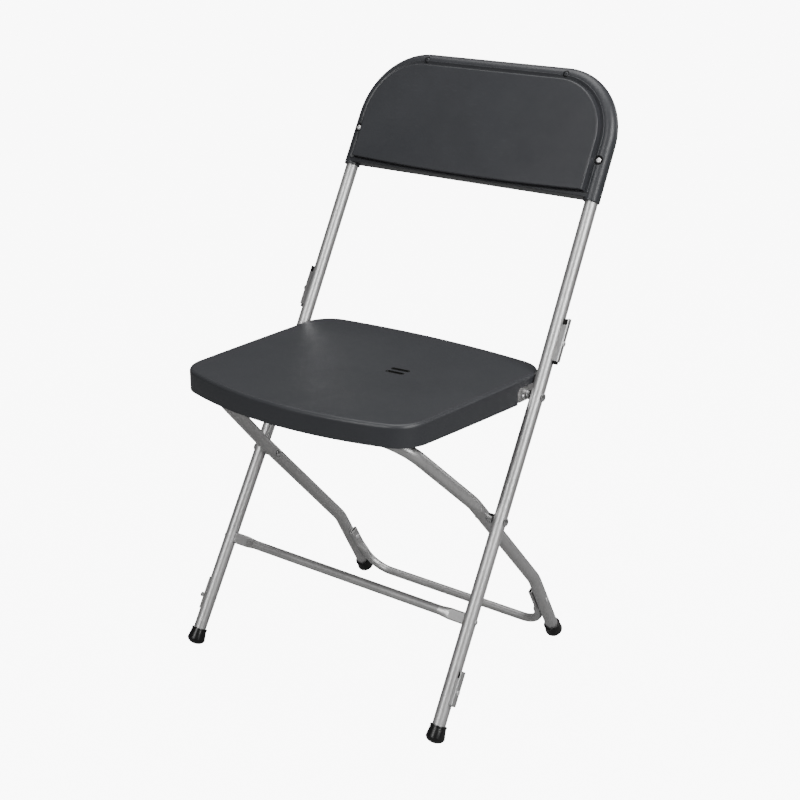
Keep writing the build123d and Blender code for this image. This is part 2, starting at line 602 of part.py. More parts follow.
# Backrest: hollow moulding sleeved over the top of the frame tube
back_rear = sleeve_ahead - sleeve_r
back_front = sleeve_ahead + sleeve_r
panel_front = back_front + panel_rise
hollow_inset = sleeve_r + seat_fit
back_web_run = back_bottom_run + back_web_rise
back_low = back_bottom_run - seat_pivot_run
back_high = top_run - seat_pivot_run
back_half_low = frame_half(back_bottom_run)
back_skin = 0.3             # flat faces stay this far inside the sleeve's round
with BuildPart() as backrest:
    sleeve_points = [
        (back_half_low, back_low),
        (top_half, back_high),
        (-top_half, back_high),
        (-back_half_low, back_low),
    ]
    with BuildLine(back_plane.offset(sleeve_ahead)) as sleeve_path:
        FilletPolyline(*sleeve_points, radius=frame_corner_radius)
    with BuildSketch(Plane(origin=sleeve_path.line @ 0, z_dir=sleeve_path.line % 0)):
        Circle(sleeve_r)
    sweep(path=sleeve_path.line)
    with BuildSketch(back_plane.offset(back_rear + back_skin)):
        back_outline(0, back_web_run)
    extrude(amount=2 * (sleeve_r - back_skin))
    with BuildSketch(back_plane.offset(back_front - 2 * back_skin)):
        back_outline(panel_inset, back_panel_bottom_run - panel_foot, panel_corner_radius, panel_bottom_bow)
    with BuildSketch(back_plane.offset(panel_front)):
        back_outline(panel_inset + panel_step, back_panel_bottom_run, panel_corner_radius, panel_bottom_bow)
    loft()
    panel_face = backrest.faces().sort_by(Axis(back_plane.origin, back_plane.z_dir))[-1]
    fillet(panel_face.edges(), radius=panel_edge_radius)
    with BuildSketch(back_plane.offset(back_rear + back_skin + back_wall)):
        back_outline(hollow_inset, back_web_run - back_wall)
    extrude(amount=sleeve_d - 2 * (back_skin + back_wall), mode=Mode.SUBTRACT)
    with BuildSketch(back_plane.offset(back_rear + back_skin + back_wall)):
        back_outline(hollow_inset, back_panel_bottom_run + panel_bottom_bow + back_wall)
    extrude(amount=panel_front - back_rear - back_skin - 2 * back_wall, mode=Mode.SUBTRACT)
    rib_low = back_panel_bottom_run + panel_bottom_bow - seat_pivot_run + back_rib_recess
    with BuildSketch(back_plane.offset(back_rear + back_wall)):
        for rib_x in (-back_rib_spacing, 0, back_rib_spacing):
            with Locations((rib_x, rib_low)):
                Rectangle(back_rib, back_high - hollow_inset - rib_low + 1, align=(Align.CENTER, Align.MIN))
    extrude(amount=panel_front - back_rear - 2 * back_wall + back_skin)
    with BuildLine(back_plane) as bore_path:
        FilletPolyline(*sleeve_points, radius=frame_corner_radius)
    with BuildSketch(Plane(origin=bore_path.line @ 0, z_dir=bore_path.line % 0)):
        Circle(tube_r + seat_fit)
    sweep(path=bore_path.line, mode=Mode.SUBTRACT)
    for side in (-1, 1):
        side_rivet_plane = front_plane(frame_point(side_rivet_run, side), high_angle, back_front)
        top_rivet_plane = front_plane(Vector(side * top_point.X, top_point.Y, top_point.Z), high_angle, back_front)
        for rivet_plane in (side_rivet_plane, top_rivet_plane):
            drill(rivet_plane, -rivet_recess_depth, panel_rise * 2, rivet_recess_d, Mode.SUBTRACT)
            drill(rivet_plane, tube_r / 2 - back_front, panel_rise, rivet_d + 2 * seat_fit, Mode.SUBTRACT)
save(backrest, "backrest")

back_rivet_seat = back_front - rivet_recess_depth + head_gap
back_rivet_length = back_rivet_seat - tube_r + 2 * tube_wall
with BuildPart() as backrest_side_rivets:
    rivet_plane = front_plane(frame_point(side_rivet_run), high_angle, back_rivet_seat)
    rivet(rivet_plane, back_rivet_length, rivet_d, back_rivet_head_d, rivet_head_height)
    mirror(backrest_side_rivets.part, about=Plane.YZ)
save(backrest_side_rivets, "backrest_side_rivets")

with BuildPart() as backrest_top_rivets:
    rivet_plane = front_plane(top_point, high_angle, back_rivet_seat)
    rivet(rivet_plane, back_rivet_length, rivet_d, back_rivet_head_d, rivet_head_height)
    mirror(backrest_top_rivets.part, about=Plane.YZ)
save(backrest_top_rivets, "backrest_top_rivets")


def seat_outline(inset):
    """The seat's bowed outline less an inset, corners rounded."""
    rear = seat_rear_reach - inset
    front = inset - seat_front_reach
    rear_half = seat_half_pivot - inset
    mid_half = rear_half - seat_mid_inset
    front_half = rear_half - seat_front_inset
    side_rear = rear - seat_rear_bow
    side_front = front + seat_front_bow
    side_mid = (side_rear + side_front) / 2
    with BuildLine() as edge:
        ThreePointArc((-rear_half, side_rear), (0, rear), (rear_half, side_rear))
        ThreePointArc((rear_half, side_rear), (mid_half, side_mid), (front_half, side_front))
        ThreePointArc((front_half, side_front), (0, front), (-front_half, side_front))
        ThreePointArc((-front_half, side_front), (-mid_half, side_mid), (-rear_half, side_rear))
    make_face(edge.edges())
    fillet(vertices(), radius=seat_corner_radius - inset)


def dish_cut(top):
    """Shallow round hollow that runs out level with the given height."""
    centre_y = pivot_y + (seat_rear_reach - seat_front_reach) / 2
    side = Plane(origin=(0, centre_y, pivot_z + top), x_dir=(1, 0, 0), z_dir=(0, -1, 0))
    with BuildSketch(side) as profile:
        with BuildLine() as edge:
            Spline((0, -dish_depth), (dish_radius, 0), tangents=((1, 0), (1, 0)))
            Polyline((dish_radius, 0), (dish_radius, seat_wall * 2), (0, seat_wall * 2), (0, -dish_depth))
        make_face(edge.edges())
    revolve(profile.sketch, axis=Axis((0, centre_y, 0), (0, 0, 1)), mode=Mode.SUBTRACT)


# Hollow under the seat, with the ribs left standing
seat_length = seat_front_reach + seat_rear_reach
seat_mid = (seat_rear_reach - seat_front_reach) / 2
skirt_low = seat_skirt_drop + seat_length * tan(radians(seat_skirt_tilt))
with BuildPart() as seat_hollow:
    with BuildSketch(seat_plane.offset(-2 * skirt_low)):
        seat_outline(seat_wall)
    extrude(amount=2 * skirt_low + seat_top_rise - seat_wall)
    fillet(seat_hollow.edges().group_by(Axis.Z)[-1], radius=seat_edge_radius - seat_wall)
    dish_cut(seat_top_rise - seat_wall)
    with BuildSketch(seat_plane.offset(rib_edge)):
        for step in (-2, -1, 1, 2):
            with Locations((step * seat_rib_spacing, seat_mid)):
                Rectangle(seat_rib, 2 * seat_length)
        for step in (-2, -1, 0, 1, 2):
            with Locations((0, seat_mid + step * seat_rib_spacing)):
                Rectangle(4 * seat_rib_spacing, seat_rib)
    extrude(amount=seat_top_rise * 2, mode=Mode.SUBTRACT)
    for side in (-1, 1):
        for screw_y in (-bracket_screw_pitch, 0):
            with BuildSketch(seat_plane.offset(bracket_top + seat_fit)):
                with Locations((side * (bracket_outer - bracket_flange / 2), screw_y)):
                    Circle(boss_d / 2)
            extrude(amount=seat_top_rise, mode=Mode.SUBTRACT)

# Seat
with BuildPart() as seat_shell:
    with BuildSketch(seat_plane.offset(-skirt_low)):
        seat_outline(0)
    extrude(amount=skirt_low + seat_top_rise)
    fillet(seat_shell.edges().group_by(Axis.Z)[-1], radius=seat_edge_radius)
    dish_cut(seat_top_rise)
    add(seat_hollow.part, mode=Mode.SUBTRACT)
    skirt_edge = Plane((0, bar_y, pivot_z - seat_skirt_drop)).rotated((-seat_skirt_tilt, 0, 0))
    split(bisect_by=skirt_edge, keep=Keep.TOP)
    with BuildSketch(seat_plane.offset(rib_edge - stop_drop)):
        for step in (-2, -1, 1, 2):
            with Locations((step * seat_rib_spacing, bar_y - pivot_y - tube_r - bar_gap - stop_thickness / 2)):
                Rectangle(stop_width, stop_thickness)
    extrude(amount=stop_drop + seat_top_rise / 2)
    with BuildSketch(seat_plane):
        for step in (-0.5, 0.5):
            with Locations((drain_x - step * seat_rib, drain_y + step * drain_pitch)):
                SlotOverall(drain_length, drain_width)
    extrude(amount=seat_top_rise * 2, mode=Mode.SUBTRACT)
    for side in (-1, 1):
        with BuildSketch(side_plane(seat_pivot, side * (bracket_inner - side_gap), 1)):
            notch_mid = (seat_notch_rear - seat_notch_front) / 2
            with Locations((notch_mid, seat_notch_top)):
                Rectangle(seat_notch_front + seat_notch_rear, 2 * seat_top_rise, align=(Align.CENTER, Align.MAX))
            fillet(vertices().group_by(Axis.Y)[-1], radius=seat_notch_radius)
        extrude(amount=side * tube_d, mode=Mode.SUBTRACT)
        for screw_y in (-bracket_screw_pitch, 0):
            screw_x = side * (bracket_outer - bracket_flange / 2)
            with BuildSketch(seat_plane.offset(-seat_skirt_drop)):
                with Locations((screw_x, screw_y)):
                    Circle(rivet_d / 2 + seat_fit)
            extrude(amount=seat_top_rise - seat_wall, mode=Mode.SUBTRACT)
save(seat_shell, "seat_shell")

# Seat hinge brackets
with BuildPart() as seat_bracket:
    with BuildSketch(side_plane(seat_pivot, bracket_inner)):
        bracket_mid = (bracket_rear - bracket_front) / 2
        with Locations((bracket_mid, (bracket_top - bracket_drop) / 2)):
            Rectangle(bracket_front + bracket_rear, bracket_top + bracket_drop)
        fillet(vertices().group_by(Axis.Y)[0], radius=bracket_corner)
    extrude(amount=bracket_wall)
    with BuildSketch(seat_plane.offset(bracket_top - bracket_wall)):
        with Locations((bracket_outer, (bracket_rear - bracket_front) / 2)):
            Rectangle(bracket_flange, bracket_front + bracket_rear, align=(Align.MAX, Align.CENTER))
    extrude(amount=bracket_wall)
    drill(side_plane(seat_pivot, bracket_inner), -1, bracket_wall + 1, pin_d + 2 * turn_fit, Mode.SUBTRACT)
    with BuildSketch(seat_plane):
        for screw_y in (-bracket_screw_pitch, 0):
            with Locations((bracket_outer - bracket_flange / 2, screw_y)):
                Circle(rivet_d / 2 + seat_fit)
    extrude(amount=seat_top_rise, mode=Mode.SUBTRACT)
save_pair(seat_bracket, "seat_bracket")

with BuildPart() as seat_bracket_screws:
    for screw_y in (-bracket_screw_pitch, 0):
        screw_point = (bracket_outer - bracket_flange / 2, pivot_y + screw_y, pivot_z + bracket_top - bracket_wall)
        screw_plane = Plane(origin=screw_point, x_dir=(1, 0, 0), z_dir=(0, 0, -1))
        rivet(screw_plane, bracket_wall + seat_top_rise / 6, rivet_d, rivet_head_d, rivet_head_height)
    mirror(seat_bracket_screws.part, about=Plane.YZ)
save(seat_bracket_screws, "seat_bracket_screws")
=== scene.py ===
import json
from math import atan, cos, pi, radians, sin

import bmesh
import bpy
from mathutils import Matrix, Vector


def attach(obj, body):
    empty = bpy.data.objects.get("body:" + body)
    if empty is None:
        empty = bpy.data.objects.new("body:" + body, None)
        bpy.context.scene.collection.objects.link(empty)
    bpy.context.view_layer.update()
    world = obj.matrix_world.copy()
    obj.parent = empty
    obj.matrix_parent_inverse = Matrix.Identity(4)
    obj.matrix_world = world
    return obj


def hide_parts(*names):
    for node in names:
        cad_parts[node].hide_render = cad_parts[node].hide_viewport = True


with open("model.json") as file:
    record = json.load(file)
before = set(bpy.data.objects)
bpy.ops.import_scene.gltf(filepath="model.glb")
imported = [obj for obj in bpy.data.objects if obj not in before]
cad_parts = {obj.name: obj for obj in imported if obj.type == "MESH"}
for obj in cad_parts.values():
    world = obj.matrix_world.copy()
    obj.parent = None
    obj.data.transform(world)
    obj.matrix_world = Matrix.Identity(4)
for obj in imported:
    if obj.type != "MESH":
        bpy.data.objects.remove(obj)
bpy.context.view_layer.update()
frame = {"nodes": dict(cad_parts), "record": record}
nodes = frame["nodes"]

# View of the photograph: metres and degrees
VIEW_TARGET = Vector((0.0, 0.013, 0.361))
VIEW_AZIMUTH = 37.83
VIEW_ELEVATION = 19.76
VIEW_DISTANCE = 2.143
LENS_MM = 70.2
SENSOR_MM = 36.0

# Places and leans of the tubes, in metres and radians
MM = 0.001
FRONT_LEAN = radians(29.8)
BACK_LEAN = radians(27.6)
REAR_LEAN = radians(-43.0)
SEAT_PIVOT = Vector((0.2058, 0.0384, 0.40438))
FRONT_FOOT = Vector((0.2134, -0.193185, 0.0))
FRONT_FOOT_AXIS = Vector((-0.0163, sin(FRONT_LEAN), cos(FRONT_LEAN)))
REAR_FOOT = Vector((0.17555, 0.155315, 0.0))
REAR_FOOT_AXIS = Vector((0.0078, -0.494, 0.8695))
SIDE_RIVET = Vector((0.2018, 0.17585, 0.69136))
TOP_RIVET = Vector((0.116, 0.22725, 0.78964))
BACK_FACING = Vector((0, -cos(BACK_LEAN), sin(BACK_LEAN)))


def start_clean():
    """Leave edit mode and let go of everything that is selected."""
    if bpy.context.object and bpy.context.object.mode != "OBJECT":
        bpy.ops.object.mode_set(mode="OBJECT")
    bpy.ops.object.select_all(action="DESELECT")


# Finishes: scales of their patterns, as features in a metre, and stretches of the lines among them
RUBBED_SCALE = 7.0
CLOUD_SCALE = 11.0
PATCH_SCALE = 16.0
GLOSS_SCALE = 34.0
TUBE_SCRATCH_SCALE = 90.0
STREAK_SCALE = 420.0
STREAK_SQUEEZE = 0.03
SCRATCH_STRETCH = 14.0


def add_group(name, inputs, outputs):
    """New shader node group with named sockets, returned with what comes in and what goes out."""
    group = bpy.data.node_groups.new(name, "ShaderNodeTree")
    for label, kind, value in inputs:
        socket = group.interface.new_socket(label, in_out="INPUT", socket_type=kind)
        socket.default_value = value
    for label, kind in outputs:
        group.interface.new_socket(label, in_out="OUTPUT", socket_type=kind)
    entry = group.nodes.new("NodeGroupInput")
    exit_node = group.nodes.new("NodeGroupOutput")
    return group, entry.outputs, exit_node.inputs


def feed(tree, value, socket):
    """Link a socket, or set a plain value."""
    if isinstance(value, bpy.types.NodeSocket):
        tree.links.new(value, socket)
    else:
        socket.default_value = value


def noise(tree, vector, scale, detail=3.0, roughness=0.5):
    """Noise texture on the given coordinates."""
    node = tree.nodes.new("ShaderNodeTexNoise")
    feed(tree, vector, node.inputs["Vector"])
    feed(tree, scale, node.inputs["Scale"])
    node.inputs["Detail"].default_value = detail
    node.inputs["Roughness"].default_value = roughness
    return node.outputs["Fac"]


def remap(tree, value, low, high, to_low, to_high):
    """Linear remap of a value, clamped."""
    node = tree.nodes.new("ShaderNodeMapRange")
    feed(tree, value, node.inputs["Value"])
    feed(tree, low, node.inputs["From Min"])
    feed(tree, high, node.inputs["From Max"])
    feed(tree, to_low, node.inputs["To Min"])
    feed(tree, to_high, node.inputs["To Max"])
    return node.outputs["Result"]


def blend_colour(tree, factor, first, second):
    """Mix two colours by a factor."""
    node = tree.nodes.new("ShaderNodeMix")
    node.data_type = "RGBA"
    feed(tree, factor, node.inputs["Factor"])
    feed(tree, first, node.inputs["A"])
    feed(tree, second, node.inputs["B"])
    return node.outputs["Result"]


def calculate(tree, operation, first, second):
    """One arithmetic step."""
    node = tree.nodes.new("ShaderNodeMath")
    node.operation = operation
    feed(tree, first, node.inputs[0])
    feed(tree, second, node.inputs[1])
    return node.outputs["Value"]


def turned_coordinates(tree, vector, turn, stretch):
    """Coordinates turned about X and squeezed along their own Z, for streaks along a run."""
    node = tree.nodes.new("ShaderNodeMapping")
    node.vector_type = "POINT"
    feed(tree, vector, node.inputs["Vector"])
    feed(tree, turn, node.inputs["Rotation"])
    node.inputs["Scale"].default_value = (1.0, 1.0, stretch)
    return node.outputs["Vector"]


def make_scuffs():
    """Fine crossed scratches and rubbed patches, as a mask from 0 to 1."""
    group, inputs, outputs = add_group(
        "handling_scuffs",
        [("Scale", "NodeSocketFloat", 60.0), ("Amount", "NodeSocketFloat", 0.3)],
        [("Mask", "NodeSocketFloat")],
    )
    place = group.nodes.new("ShaderNodeTexCoord").outputs["Object"]
    marks = None
    for turn, seed in (((0.0, 0.0, 0.4), 0.0), ((0.2, 0.1, -0.9), 3.1)):
        lines = group.nodes.new("ShaderNodeMapping")
        group.links.new(place, lines.inputs["Vector"])
        lines.inputs["Rotation"].default_value = turn
        lines.inputs["Location"].default_value = (seed, seed, seed)
        lines.inputs["Scale"].default_value = (1.0, SCRATCH_STRETCH, 1.0)
        pattern = noise(group, lines.outputs["Vector"], inputs["Scale"], 2.0)
        line = remap(group, pattern, 0.66, 0.72, 0.0, 1.0)
        marks = line if marks is None else calculate(group, "MAXIMUM", marks, line)
    rubbed = remap(group, noise(group, place, RUBBED_SCALE, 3.0), 0.45, 0.72, 0.0, 1.0)
    worn = calculate(group, "MULTIPLY", marks, rubbed)
    group.links.new(calculate(group, "MULTIPLY", worn, inputs["Amount"]), outputs["Mask"])
    return group


def make_moulded_grain(scuffs):
    """Fine-grained moulding: faint tone clouds, grain height, uneven gloss and handling scuffs."""
    group, inputs, outputs = add_group(
        "moulded_grain",
        [
            ("Dark", "NodeSocketColor", (0.03, 0.03, 0.03, 1)),
            ("Light", "NodeSocketColor", (0.06, 0.06, 0.06, 1)),
            ("Scuffed", "NodeSocketColor", (0.1, 0.1, 0.1, 1)),
            ("Scuffs", "NodeSocketFloat", 0.2),
            ("Grain Scale", "NodeSocketFloat", 900.0),
            ("Rough Low", "NodeSocketFloat", 0.4),
            ("Rough High", "NodeSocketFloat", 0.55),
        ],
        [("Color", "NodeSocketColor"), ("Roughness", "NodeSocketFloat"), ("Height", "NodeSocketFloat")],
    )
    place = group.nodes.new("ShaderNodeTexCoord").outputs["Object"]
    clouds = remap(group, noise(group, place, CLOUD_SCALE, 4.0, 0.6), 0.3, 0.7, 0.0, 1.0)
    speckle = remap(group, noise(group, place, inputs["Grain Scale"], 1.0), 0.35, 0.65, 0.0, 1.0)
    tone = calculate(group, "MULTIPLY_ADD", speckle, 0.35)
    group.links.new(calculate(group, "MULTIPLY", clouds, 0.65), tone.node.inputs[2])
    wear = group.nodes.new("ShaderNodeGroup")
    wear.node_tree = scuffs
    group.links.new(inputs["Scuffs"], wear.inputs["Amount"])
    base = blend_colour(group, tone, inputs["Dark"], inputs["Light"])
    group.links.new(blend_colour(group, wear.outputs["Mask"], base, inputs["Scuffed"]), outputs["Color"])
    uneven = noise(group, place, GLOSS_SCALE, 5.0, 0.65)
    gloss = remap(group, uneven, 0.3, 0.7, inputs["Rough Low"], inputs["Rough High"])
    dulled = calculate(group, "MULTIPLY", wear.outputs["Mask"], 0.2)
    group.links.new(calculate(group, "ADD", gloss, dulled), outputs["Roughness"])
    group.links.new(calculate(group, "SUBTRACT", speckle, wear.outputs["Mask"]), outputs["Height"])
    return group


def make_tube_paint(scuffs):
    """Silver paint over drawn tube: metal flake, faint streaks along the run, uneven gloss."""
    group, inputs, outputs = add_group(
        "tube_paint",
        [
            ("Shade", "NodeSocketColor", (0.3, 0.3, 0.3, 1)),
            ("Bright", "NodeSocketColor", (0.5, 0.5, 0.5, 1)),
            ("Scuffed", "NodeSocketColor", (0.2, 0.2, 0.2, 1)),
            ("Scuffs", "NodeSocketFloat", 0.2),
            ("Run Turn", "NodeSocketVector", (0.0, 0.0, 0.0)),
            ("Flake Scale", "NodeSocketFloat", 2400.0),
            ("Rough Low", "NodeSocketFloat", 0.3),
            ("Rough High", "NodeSocketFloat", 0.42),
        ],
        [("Color", "NodeSocketColor"), ("Roughness", "NodeSocketFloat"), ("Height", "NodeSocketFloat")],
    )
    place = group.nodes.new("ShaderNodeTexCoord").outputs["Object"]
    run = turned_coordinates(group, place, inputs["Run Turn"], STREAK_SQUEEZE)
    streaks = remap(group, noise(group, run, STREAK_SCALE, 3.0, 0.6), 0.3, 0.7, 0.0, 1.0)
    flake = remap(group, noise(group, place, inputs["Flake Scale"], 1.0), 0.35, 0.7, 0.0, 1.0)
    patches = remap(group, noise(group, place, PATCH_SCALE, 4.0, 0.6), 0.3, 0.7, 0.0, 1.0)
    tone = calculate(group, "MULTIPLY_ADD", flake, 0.4)
    streaked = calculate(group, "MULTIPLY_ADD", streaks, 0.35)
    group.links.new(calculate(group, "MULTIPLY", patches, 0.25), streaked.node.inputs[2])
    group.links.new(streaked, tone.node.inputs[2])
    wear = group.nodes.new("ShaderNodeGroup")
    wear.node_tree = scuffs
    wear.inputs["Scale"].default_value = TUBE_SCRATCH_SCALE
    group.links.new(inputs["Scuffs"], wear.inputs["Amount"])
    base = blend_colour(group, tone, inputs["Shade"], inputs["Bright"])
    group.links.new(blend_colour(group, wear.outputs["Mask"], base, inputs["Scuffed"]), outputs["Color"])
    mixed = calculate(group, "MULTIPLY_ADD", streaks, 0.5)
    group.links.new(calculate(group, "MULTIPLY", patches, 0.5), mixed.node.inputs[2])
    gloss = remap(group, mixed, 0.1, 0.9, inputs["Rough Low"], inputs["Rough High"])
    group.links.new(gloss, outputs["Roughness"])
    height = calculate(group, "MULTIPLY_ADD", flake, 0.5)
    group.links.new(streaks, height.node.inputs[2])
    group.links.new(height, outputs["Height"])
    return group


def new_material(name, group, values, bump, distance, **shader_values):
    """Principled material fed by one of the finish groups."""
    material = bpy.data.materials.new(name)
    material.use_nodes = True
    tree = material.node_tree
    shader = tree.nodes["Principled BSDF"]
    finish = tree.nodes.new("ShaderNodeGroup")
    finish.node_tree = group
    for key, value in values.items():
        finish.inputs[key].default_value = value
    tree.links.new(finish.outputs["Color"], shader.inputs["Base Color"])
    tree.links.new(finish.outputs["Roughness"], shader.inputs["Roughness"])
    relief = tree.nodes.new("ShaderNodeBump")
    relief.inputs["Strength"].default_value = bump
    relief.inputs["Distance"].default_value = distance
    tree.links.new(finish.outputs["Height"], relief.inputs["Height"])
    tree.links.new(relief.outputs["Normal"], shader.inputs["Normal"])
    for key, value in shader_values.items():
        shader.inputs[key.replace("_", " ")].default_value = value
    return material


def grey(value, warm=0.0):
    """Neutral colour, a little warmer or cooler."""
    return (value * (1 + warm), value, value * (1 - warm), 1.0)


scuff_marks = make_scuffs()
grain = make_moulded_grain(scuff_marks)
paint = make_tube_paint(scuff_marks)
charcoal = new_material(
    "charcoal_moulding", grain,
    {"Dark": (0.0245, 0.0257, 0.0292, 1), "Light": (0.031, 0.0324, 0.0364, 1),
     "Scuffed": grey(0.06, -0.03), "Scuffs": 0.22, "Grain Scale": 1300.0,
     "Rough Low": 0.37, "Rough High": 0.43},
    0.10, 0.0003, Specular_IOR_Level=0.42,
)
rubber = new_material(
    "foot_rubber", grain,
    {"Dark": grey(0.003), "Light": grey(0.0055), "Scuffed": grey(0.025), "Scuffs": 0.25,
     "Grain Scale": 900.0, "Rough Low": 0.27, "Rough High": 0.34},
    0.06, 0.0003, Specular_IOR_Level=0.4,
)
# Black plastic of the liners and black rivets; on the rings in the rivet recesses and the slot linings it is
# painted shade
black_fitting_and_painted_shade = new_material(
    "black_fitting_and_painted_shade", grain,
    {"Dark": grey(0.003), "Light": grey(0.006), "Scuffed": grey(0.03), "Scuffs": 0.2,
     "Grain Scale": 1500.0, "Rough Low": 0.42, "Rough High": 0.52},
    0.05, 0.0002, Specular_IOR_Level=0.15,
)


def silver(name, turn, shade, bright, rough):
    """Silver paint with its streaks along a run."""
    return new_material(
        name, paint,
        {"Shade": grey(shade, 0.004), "Bright": grey(bright, 0.004), "Scuffed": grey(shade * 0.6),
         "Scuffs": 0.25, "Run Turn": turn, "Rough Low": rough, "Rough High": rough + 0.1},
        0.05, 0.0002, Metallic=0.9,
    )


def steel(name, shade, bright, scuffed, rough, rougher):
    """Bare steel of pins and rivets."""
    return new_material(
        name, paint,
        {"Shade": grey(shade), "Bright": grey(bright), "Scuffed": grey(scuffed), "Scuffs": 0.2,
         "Flake Scale": 1600.0, "Rough Low": rough, "Rough High": rougher},
        0.05, 0.0002, Metallic=1.0,
    )


silver_front = silver("silver_front_tube", (FRONT_LEAN, 0.0, 0.0), 0.44, 0.58, 0.38)
silver_rear = silver("silver_rear_tube", (REAR_LEAN, 0.0, 0.0), 0.44, 0.58, 0.38)
# Clips: a touch darker than the tube paint, partly their own paint and partly painted shade for their rounded
# sides
silver_clip_painted_shade = silver("silver_clip_painted_shade", (FRONT_LEAN, 0.0, 0.0), 0.42, 0.55, 0.28)
silver_rod = silver("silver_cross_rod", (0.0, pi / 2, 0.0), 0.44, 0.58, 0.38)
rivet_steel = steel("rivet_steel", 0.78, 0.9, 0.5, 0.34, 0.44)
# Hinge pins and spacers: steel darker than the rivets, partly their own tone and partly painted shade round
# the pins
pin_steel_painted_shade = steel("pin_steel_painted_shade", 0.42, 0.56, 0.3, 0.24, 0.32)

NODE_FINISH = {"rear_leg_tube": silver_rear, "front_stretcher": silver_rod, "rear_stretcher": silver_rod}
for joint in ("leg_pivot", "seat_pivot"):
    for piece in ("pin", "spacer"):
        for hand in ("right", "left"):
            NODE_FINISH[f"{joint}_{piece}_{hand}"] = pin_steel_painted_shade
SLOT_FINISH = {
    "frame_paint": silver_front, "clip_steel": silver_clip_painted_shade, "rivet_steel": rivet_steel,
    "black_rivet": black_fitting_and_painted_shade, "liner_plastic": black_fitting_and_painted_shade, "seat_plastic": charcoal,
    "back_plastic": charcoal, "foot_rubber": rubber,
}
slot_of = {part["node"]: part["material_slot"] for part in frame["record"]["subparts"]}
for name, node in nodes.items():
    node.data.materials.clear()
    node.data.materials.append(NODE_FINISH.get(name, SLOT_FINISH[slot_of[name]]))

# Modelled pieces: angles that stay sharp, and how close in millimetres two points are one
SMOOTH_ANGLE = radians(38)
MOULDING_SMOOTH_ANGLE = radians(40)
SAME_POINT, MERGED_POINT = 0.01, 0.001
WIDE_FACE_SIDES = 12


def turned_solid(name, rings, segments):
    """Closed turned piece about Z, raised ring by ring from its lower face; millimetres."""
    start_clean()
    radius, height = rings[0]
    bpy.ops.mesh.primitive_circle_add(
        vertices=segments, radius=radius * MM, fill_type="NGON", location=(0, 0, height * MM)
    )
    piece = bpy.context.object
    piece.name = name
    piece.data.name = name
    bpy.ops.object.mode_set(mode="EDIT")
    bpy.ops.mesh.select_all(action="SELECT")
    for next_radius, next_height in rings[1:]:
        rise = (0, 0, (next_height - height) * MM)
        bpy.ops.mesh.extrude_region_move(TRANSFORM_OT_translate={"value": rise})
        growth = next_radius / radius
        bpy.ops.transform.resize(value=(growth, growth, 1))
        radius, height = next_radius, next_height
    bpy.ops.mesh.select_all(action="SELECT")
    bpy.ops.mesh.normals_make_consistent(inside=False)
    bpy.ops.object.mode_set(mode="OBJECT")
    bpy.ops.object.shade_smooth_by_angle(angle=SMOOTH_ANGLE)
    bpy.ops.object.transform_apply(location=True, rotation=True, scale=True)
    return piece


def copy_of(piece, name):
    """Another of a finished piece, with its own mesh."""
    start_clean()
    piece.select_set(True)
    bpy.context.view_layer.objects.active = piece
    bpy.ops.object.duplicate(linked=False)
    copy = bpy.context.object
    copy.name = name
    copy.data.name = name
    return copy


def set_in_place(piece, origin, axis):
    """Stand a piece on a point with its Z along the axis, and keep that in its mesh."""
    start_clean()
    piece.select_set(True)
    bpy.context.view_layer.objects.active = piece
    piece.location = origin
    piece.rotation_euler = axis.to_track_quat("Z", "Y").to_euler()
    bpy.ops.object.transform_apply(location=True, rotation=True, scale=True)


def join_pieces(first, *others):
    """One object from several."""
    start_clean()
    for piece in (first, *others):
        piece.select_set(True)
    bpy.context.view_layer.objects.active = first
    bpy.ops.object.join()
    return first


def finish_piece(piece, body, material):
    """Paint a piece and let it ride on its body."""
    piece.data.materials.clear()
    piece.data.materials.append(material)
    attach(piece, body)


def mirrored(point):
    """The same place on the chair's other side."""
    return Vector((-point.x, point.y, point.z))


def pick(piece, test):
    """In edit mode, select the vertices whose place in millimetres passes a test, and what they bound."""
    bpy.ops.mesh.select_mode(type="VERT")
    bpy.ops.mesh.select_all(action="DESELECT")
    shape = bmesh.from_edit_mesh(piece.data)
    for vertex in shape.verts:
        vertex.select_set(test(vertex.co / MM))
    shape.select_flush(True)
    bmesh.update_edit_mesh(piece.data)


def pick_edges(piece, test):
    """In edit mode, select the edges whose two ends in millimetres pass a test."""
    bpy.ops.mesh.select_mode(type="EDGE")
    bpy.ops.mesh.select_all(action="DESELECT")
    shape = bmesh.from_edit_mesh(piece.data)
    for edge in shape.edges:
        edge.select_set(test(edge.verts[0].co / MM, edge.verts[1].co / MM))
    bmesh.update_edit_mesh(piece.data)


def pick_wide_face(piece):
    """In edit mode, select the many-sided face on the front."""
    bpy.ops.mesh.select_mode(type="FACE")
    bpy.ops.mesh.select_all(action="DESELECT")
    shape = bmesh.from_edit_mesh(piece.data)
    for face in shape.faces:
        face.select_set(len(face.verts) > WIDE_FACE_SIDES and face.calc_center_median().z > 0)
    bmesh.update_edit_mesh(piece.data)


def trace_loop(points):
    """In edit mode, draw a closed loop of edges from point to point; millimetres."""
    bpy.ops.mesh.select_mode(type="VERT")
    bpy.ops.mesh.select_all(action="DESELECT")
    bpy.ops.mesh.primitive_plane_add(size=MM, location=points[0] * MM)
    bpy.ops.mesh.merge(type="CENTER")
    for start, end in zip(points, points[1:] + points[:1]):
        bpy.ops.mesh.extrude_region_move(TRANSFORM_OT_translate={"value": (end - start) * MM})
    bpy.ops.mesh.select_all(action="SELECT")
    bpy.ops.mesh.remove_doubles(threshold=MERGED_POINT * MM)


# Rivets of the backrest, as rings of radius and height in millimetres
RIVET_LIFT = 0.0001
RIVET_SEGMENTS = 40
